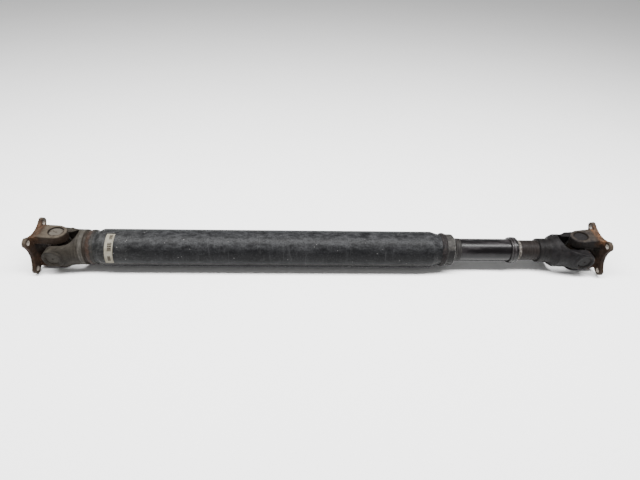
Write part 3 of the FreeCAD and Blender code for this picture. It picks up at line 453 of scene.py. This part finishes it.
def slip_yoke_finish():
    """Matt black forging; its turned neck and shank browned, and pale where the seal wipes it clean."""
    look = Look("slip_yoke_finish", specular=0.09, center=RIGHT_JOINT, heading=math.pi, shade=0.28)
    along = look.axis("X")
    blotch = look.ramp(look.noise(0.014, 7, 2.0, warp=0.3), 0.36, 0.66)
    color = look.mix(blotch, (0.0080, 0.0070, 0.0080), (0.0180, 0.0160, 0.0175))
    grain = look.noise(0.0020, 6, 8.0)
    color = look.mix(look.ramp(grain, 0.5, 0.75, 0.0, 0.5), color, (0.006, 0.006, 0.006))
    film = look.ramp(look.noise(0.012, 8, 14.0), 0.36, 0.74)
    settled = look.times(film, look.ramp(look.facing_up(-0.1, 1.0), 0, 1, 0.08, 0.26))
    color = look.mix(settled, color, (0.105, 0.096, 0.094))

    # rust flecks round the ears' ends and in the gap
    ears = look.ramp(along, -0.014, 0.018, 1.0, 0.10)
    flecks = look.ramp(look.noise(0.0045, 8, 61.0), 0.60, 0.66)
    color = look.mix(look.times(flecks, ears), color, (0.13, 0.060, 0.028))

    # the turned neck, the browned shank and the length that the seal wipes
    rings = look.noise(0.0013, 2, 3.0, (1, 0.04, 0.04))
    machined = look.mix(look.ramp(rings, 0.42, 0.66), (0.011, 0.0095, 0.009), (0.030, 0.026, 0.024))
    neck = look.ramp(along, 0.066, 0.070)
    color = look.mix(look.times(neck, 0.6), color, machined)
    brown = look.mix(look.ramp(rings, 0.42, 0.66), (0.022, 0.0165, 0.015), (0.048, 0.038, 0.034))
    color = look.mix(look.times(look.ramp(along, 0.0925, 0.0935), 0.85), color, brown)
    bare = look.mix(look.ramp(look.noise(0.004, 6), 0.38, 0.62), (0.11, 0.09, 0.075), (0.36, 0.33, 0.30))
    worn_off = look.ramp(look.noise(0.006, 6, 47.0), 0.34, 0.46)
    wiped = look.ramp(along, 0.1305, 0.1320)
    color = look.mix(look.times(wiped, look.ramp(worn_off, 0, 1, 0.35, 0.95)), color, bare)
    color = look.mix(look.times(look.worn_edges(0.0012), 0.4), color, (0.085, 0.075, 0.070))

    rough = look.plus(look.ramp(grain, 0.3, 0.7, 0.42, 0.62), look.times(film, 0.12))
    scale = look.bump(grain, 0.0003, 0.6, look.soft_normal(0.0009))
    turned = look.bump(look.times(rings, neck), 0.00012, 0.5, scale)
    return look.finish(color, rough, turned)


def bearing_steel(name, clean, stain, share, rough, metallic=0.5):
    """A ground steel piece. Stains cover about that share of it, and first where dirt gathers."""
    look = Look(name, metallic=metallic, specular=0.10, shade=0.26)
    blot = look.noise(0.006, 8, 11.0, warp=0.3)
    blot = look.plus(blot, look.times(look.hollows(0.004, 0.4, 1.0), 0.2))
    dirty = look.ramp(blot, 0.72 - 0.4 * share, 0.90 - 0.4 * share)
    grain = look.noise(0.0012, 5, 4.0)
    color = look.mix(look.ramp(grain, 0.35, 0.7), clean, tuple(0.75 * c for c in clean))
    stain_color = look.mix(look.ramp(grain, 0.35, 0.65), tuple(0.6 * c for c in stain), stain)
    color = look.mix(look.times(dirty, 0.9), color, stain_color)
    roughness = look.plus(look.ramp(grain, 0.3, 0.7, rough - 0.08, rough + 0.1), look.times(dirty, 0.25))
    normal = look.bump(grain, 0.0002, 0.5, look.soft_normal(0.0004))
    return look.finish(color, roughness, normal)


def rubber():
    look = Look("seal_rubber", specular=0.35)
    film = look.ramp(look.noise(0.004, 6, 6.0), 0.45, 0.72, 0.0, 0.5)
    color = look.mix(film, (0.010, 0.010, 0.010), (0.06, 0.05, 0.042))
    return look.finish(color, look.ramp(film, 0, 0.5, 0.5, 0.75), look.bump(film, 0.0002, 0.5))


def paper():
    """An off-white strip with soft brown print: a ladder of bars between two blocks of dashes."""
    strip = middle("paper_label")
    look = Look("paper_label", specular=0.05, center=(strip.x, 0, AXIS_Z), shade=0.27)
    toward_front = look.times(look.axis("Y"), -1.0)
    angle = look.times(look.math("ARCTAN2", toward_front, look.axis("Z")), 180 / math.pi)
    across = look.plus(look.axis("X"), look.times(look.axis("Z"), -math.tan(LABEL_SLANT)))
    # each block of print: first and last degree, degrees per bar, half width, shift across
    blocks = (
        (11, 26, 4.4, 0.0032, 0.0006),
        (37, 63, 5.2, 0.0042, 0.0002),
        (78, 97, 4.4, 0.0030, -0.0008),
    )
    ink = None
    for first, last, step, half_width, shift in blocks:
        inside = look.times(look.between(angle, first, last, 0.4),
                            look.between(across, shift - half_width, shift + half_width, 0.0003))
        row = look.math("PINGPONG", look.plus(angle, 360.0), step / 2)
        bars = look.times(inside, look.ramp(row, step * 0.06, step * 0.16))
        ink = bars if ink is None else look.plus(ink, bars)
    worn = look.ramp(look.noise(0.0022, 3, 7.0), 0.38, 0.50, 0.70, 1.0)
    ink = look.times(ink, worn)

    yellowed = look.ramp(look.noise(0.012, 6, 3.0), 0.35, 0.7)
    color = look.mix(yellowed, (0.62, 0.58, 0.47), (0.46, 0.42, 0.32))
    color = look.mix(ink, color, (0.060, 0.045, 0.034))
    smudge = look.ramp(look.noise(0.005, 7, 19.0), 0.58, 0.76, 0.0, 0.5)
    color = look.mix(smudge, color, (0.14, 0.125, 0.105))
    return look.finish(color, 0.75, look.bump(look.noise(0.003, 4), 0.0002, 0.4))


def pale_floor():
    look = Look("pale_floor", specular=0.2)
    color = look.mix(look.noise(0.3, 3), (0.90, 0.90, 0.90), (0.94, 0.94, 0.935))
    return look.finish(color, 0.8, look.bump(look.noise(0.004, 3), 0.0003, 0.1))


DARK_STAIN = (0.040, 0.026, 0.017)
LEFT_FLANGE = rusty_flange("flange_rust_left", LEFT_JOINT, 0.0, LEFT_TIP, bloom_share=0.35,
                           base=(0.058, 0.031, 0.018), arms=(0.044, 0.030, 0.021),
                           ears=(0.115, 0.097, 0.075))
RIGHT_FLANGE = rusty_flange("flange_rust_right", RIGHT_JOINT, math.pi, RIGHT_TIP, bloom_share=0.80,
                            base=(0.046, 0.026, 0.017), arms=(0.014, 0.0125, 0.0125),
                            ears=(0.028, 0.025, 0.026))
FINISHES = {
    "tube_paint": tube_paint(),
    "end_piece": end_piece_paint(),
    "cap_black": cap_paint(),
    "seal_rubber": rubber(),
    "yoke_bare": left_yoke_finish(),
    "yoke_black": slip_yoke_finish(),
    "flange_rust": LEFT_FLANGE,
    "weld": weld_metal(),
    "cross_steel": bearing_steel("cross_steel", (0.10, 0.085, 0.070), DARK_STAIN, share=0.9, rough=0.5),
    "cup_steel": bearing_steel("cup_steel", (0.27, 0.24, 0.20), (0.12, 0.095, 0.07),
                               share=0.55, rough=0.5, metallic=0.15),
    "roller_steel": bearing_steel("roller_steel", (0.6, 0.6, 0.6), (0.2, 0.17, 0.14),
                                  share=0.2, rough=0.25, metallic=0.9),
    "spring_steel": bearing_steel("spring_steel", (0.060, 0.050, 0.042), DARK_STAIN,
                                  share=0.7, rough=0.5),
    "brass": bearing_steel("nipple_zinc", (0.33, 0.30, 0.25), (0.10, 0.06, 0.035),
                           share=0.5, rough=0.4),
    "paper": paper(),
}
FRONT_DIRT = bearing_steel("cup_under_dirt", (0.095, 0.082, 0.065), (0.060, 0.047, 0.034),
                           share=0.45, rough=0.6, metallic=0.0)
BLACK_DIRT = bearing_steel("cup_under_paint", (0.026, 0.024, 0.024), (0.040, 0.026, 0.018),
                           share=0.45, rough=0.55, metallic=0.0)
OWN_FINISH = {
    "right_flange_yoke": RIGHT_FLANGE,
    "left_cup_front": FRONT_DIRT,
    "left_cup_back": FRONT_DIRT,
    "left_yoke_snap_rings": FRONT_DIRT,
    "right_cup_front": BLACK_DIRT,
    "right_cup_back": BLACK_DIRT,
    "right_yoke_snap_rings": BLACK_DIRT,
    "right_cup_top": bearing_steel("cup_right_top", (0.042, 0.038, 0.039), (0.026, 0.022, 0.021),
                                   share=0.5, rough=0.5, metallic=0.1),
}
for node, piece in NODES.items():
    piece.data.materials.clear()
    piece.data.materials.append(OWN_FINISH.get(node, FINISHES[NODE_SLOT[node]]))


# ------------------------------------------------------------------ forged surfaces
def forge(node):
    """Rounds a forging's edges a little and gives its skin a shallow hammered unevenness."""
    piece = NODES[node]
    remesh = piece.modifiers.new("even_mesh", "REMESH")
    remesh.mode = "VOXEL"
    remesh.voxel_size = 0.7 * MM
    remesh.use_smooth_shade = True
    smooth = piece.modifiers.new("soft_edges", "SMOOTH")
    smooth.factor = 0.5
    smooth.iterations = 5
    texture = bpy.data.textures.new(node + "_skin", "CLOUDS")
    texture.noise_scale = 6 * MM
    texture.noise_depth = 3
    uneven = piece.modifiers.new("uneven_skin", "DISPLACE")
    uneven.texture = texture
    uneven.texture_coords = "LOCAL"
    uneven.strength = 0.4 * MM
    uneven.mid_level = 0.5


for node in ("left_tube_yoke", "left_flange_yoke", "right_flange_yoke", "slip_yoke"):
    forge(node)


# ------------------------------------------------------------------ weld beads
def weld_bead(node, inner, ripples, slant, depth):
    """A closed ring with the overlapping ripples that a welding pass leaves.

    inner is the radius that it sits on. Each ripple is depth deep and bends back by slant radians
    of its own cycle towards the bead's sides.
    """
    low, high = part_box(node)
    center, half = (low.x + high.x) / 2, (high.x - low.x) / 2
    height = (high.z - low.z) / 2 - inner
    sunk = inner - 0.6 * MM      # the bead's two sides, just under the surface
    root = inner - 1.2 * MM      # the inside of the ring
    around, across = 720, 22
    points, faces = [], []
    for i in range(around):
        turn = 2 * math.pi * i / around
        wander = 0.4 * MM * math.sin(3 * turn + 1) + 0.3 * MM * math.sin(7 * turn)
        for j in range(across):
            share = 2 * j / (across - 1) - 1
            crown = (1 - share * share) ** 0.6
            phase = ripples * turn + slant * share * share
            step = (phase / (2 * math.pi)) % 1
            radius = sunk + (height + inner - sunk) * crown - depth * crown * step
            points.append((center + half * share + wander * crown,
                           radius * math.sin(turn), AXIS_Z + radius * math.cos(turn)))
        points.append((center, root * math.sin(turn), AXIS_Z + root * math.cos(turn)))
    row = across + 1
    for i in range(around):
        here, there = i * row, ((i + 1) % around) * row
        for j in range(row):
            beside = (j + 1) % row
            faces.append((here + j, here + beside, there + beside, there + j))
    mesh = bpy.data.meshes.new(node + "_rippled")
    mesh.from_pydata(points, [], faces)
    mesh.validate()
    for face in mesh.polygons:
        face.use_smooth = True
    mesh.materials.append(FINISHES["weld"])
    bead = bpy.data.objects.new(node + "_rippled", mesh)
    bpy.context.collection.objects.link(bead)
    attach(bead, "shaft")
    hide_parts(node)


weld_bead("left_weld_bead", 33.4 * MM, ripples=96, slant=9.0, depth=0.5 * MM)
weld_bead("right_weld_bead", 32.9 * MM, ripples=84, slant=7.0, depth=0.6 * MM)


# ------------------------------------------------------------------ floor, camera and light
REACH = 40.0    # metres of floor each way, so that its edge is far off in side views
corners = [(-REACH, -REACH, 0), (REACH, -REACH, 0), (REACH, REACH, 0), (-REACH, REACH, 0)]
mesh = bpy.data.meshes.new("floor")
mesh.from_pydata(corners, [], [(0, 1, 2, 3)])
floor = bpy.data.objects.new("floor", mesh)
bpy.context.collection.objects.link(floor)
mesh.materials.append(pale_floor())

# the camera stands in front of the shaft, a little left of its middle, and looks down on it
CAMERA_SPOT = (-0.054, -0.701, 0.6008 + AXIS_Z)
CAMERA_TURN = math.radians(-3.404)
CAMERA_DIP = math.radians(39.429)
CAMERA_ROLL = math.radians(2.635)
FOCAL_LENGTH = 24.415    # millimetres, on a sensor 36 wide
lens = bpy.data.cameras.new("camera")
lens.sensor_width = 36.0
lens.lens = FOCAL_LENGTH
lens.clip_start = 0.01
camera = bpy.data.objects.new("camera", lens)
bpy.context.collection.objects.link(camera)
heading = Matrix.Rotation(CAMERA_TURN, 4, "Z")
tilt = Matrix.Rotation(math.radians(90) - CAMERA_DIP, 4, "X")
roll = Matrix.Rotation(CAMERA_ROLL, 4, "Z")
camera.matrix_world = Matrix.Translation(CAMERA_SPOT) @ heading @ tilt @ roll
bpy.context.scene.camera = camera

# the room: dim, a little brighter overhead
HORIZON, OVERHEAD = 0.28, 0.50
world = bpy.data.worlds.new("room")
world.use_nodes = True
bpy.context.scene.world = world
tree = world.node_tree
background = tree.nodes["Background"]
direction = tree.nodes.new("ShaderNodeTexCoord")
parts = tree.nodes.new("ShaderNodeSeparateXYZ")
tree.links.new(direction.outputs["Generated"], parts.inputs["Vector"])
climb = tree.nodes.new("ShaderNodeMapRange")
climb.inputs["From Min"].default_value = 0.0
climb.inputs["From Max"].default_value = 0.85
climb.inputs["To Min"].default_value = HORIZON
climb.inputs["To Max"].default_value = OVERHEAD
tree.links.new(parts.outputs["Z"], climb.inputs["Value"])
tree.links.new(climb.outputs["Result"], background.inputs["Strength"])
background.inputs["Color"].default_value = (1, 1, 1, 1)


def lamp(name, spot, aim, size, power):
    """A soft rectangular light at spot, turned towards aim."""
    light = bpy.data.lights.new(name, "AREA")
    light.shape = "RECTANGLE"
    light.size, light.size_y = size
    light.energy = power
    holder = bpy.data.objects.new(name, light)
    bpy.context.collection.objects.link(holder)
    holder.location = spot
    holder.rotation_euler = (Vector(aim) - Vector(spot)).to_track_quat("-Z", "Y").to_euler()


lamp("overhead_strip", spot=(0, -0.15, 1.6), aim=(0, -0.02, 0), size=(3.2, 0.35), power=165)
